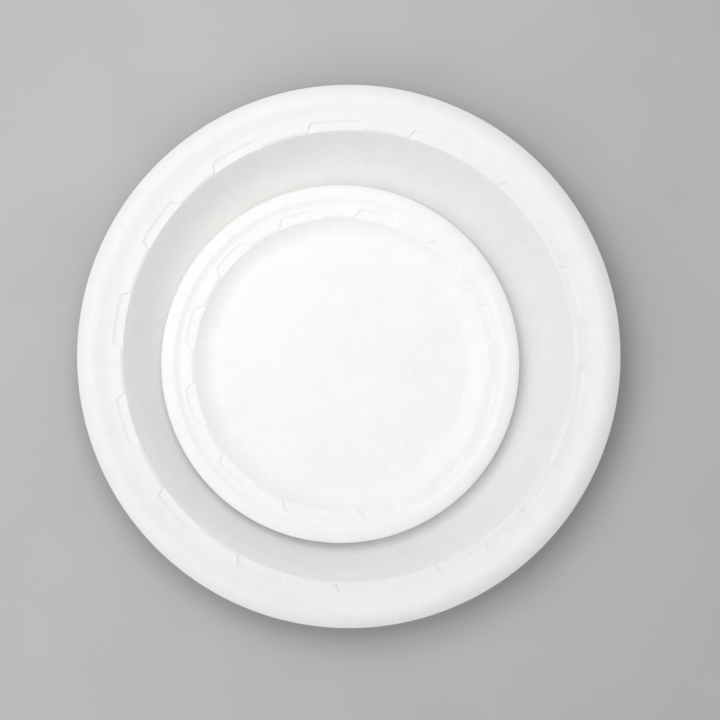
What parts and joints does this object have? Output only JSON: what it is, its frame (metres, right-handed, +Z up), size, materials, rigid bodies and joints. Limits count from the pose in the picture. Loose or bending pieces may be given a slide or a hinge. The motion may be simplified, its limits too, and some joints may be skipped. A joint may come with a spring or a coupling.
{
  "type": "moulded plate set",
  "caption": "Small round moulded plate resting loose in the dished well of a large one, each with a stepped shoulder and a wide turned-down rim",
  "frame": {"origin": "centre of the large plate's flat base, on the table it stands on", "axes": "+Z up out of the wells; +X and +Y lie in the table, with the small plate set down slightly towards -X and -Y"},
  "size_m": [0.2286, 0.2286, 0.0197],
  "materials": {
    "large_pulp": "matte",
    "small_pulp": "matte"
  },
  "bodies": {
    "large": {"large_plate": "large_pulp"},
    "small": {"small_plate": "small_pulp"}
  },
  "joints": [
    {"name": "small_plate_lift", "type": "slide", "parent": "large", "child": "small", "axis": [0, 0, 1], "range_m": [0, 0.06]}
  ]
}
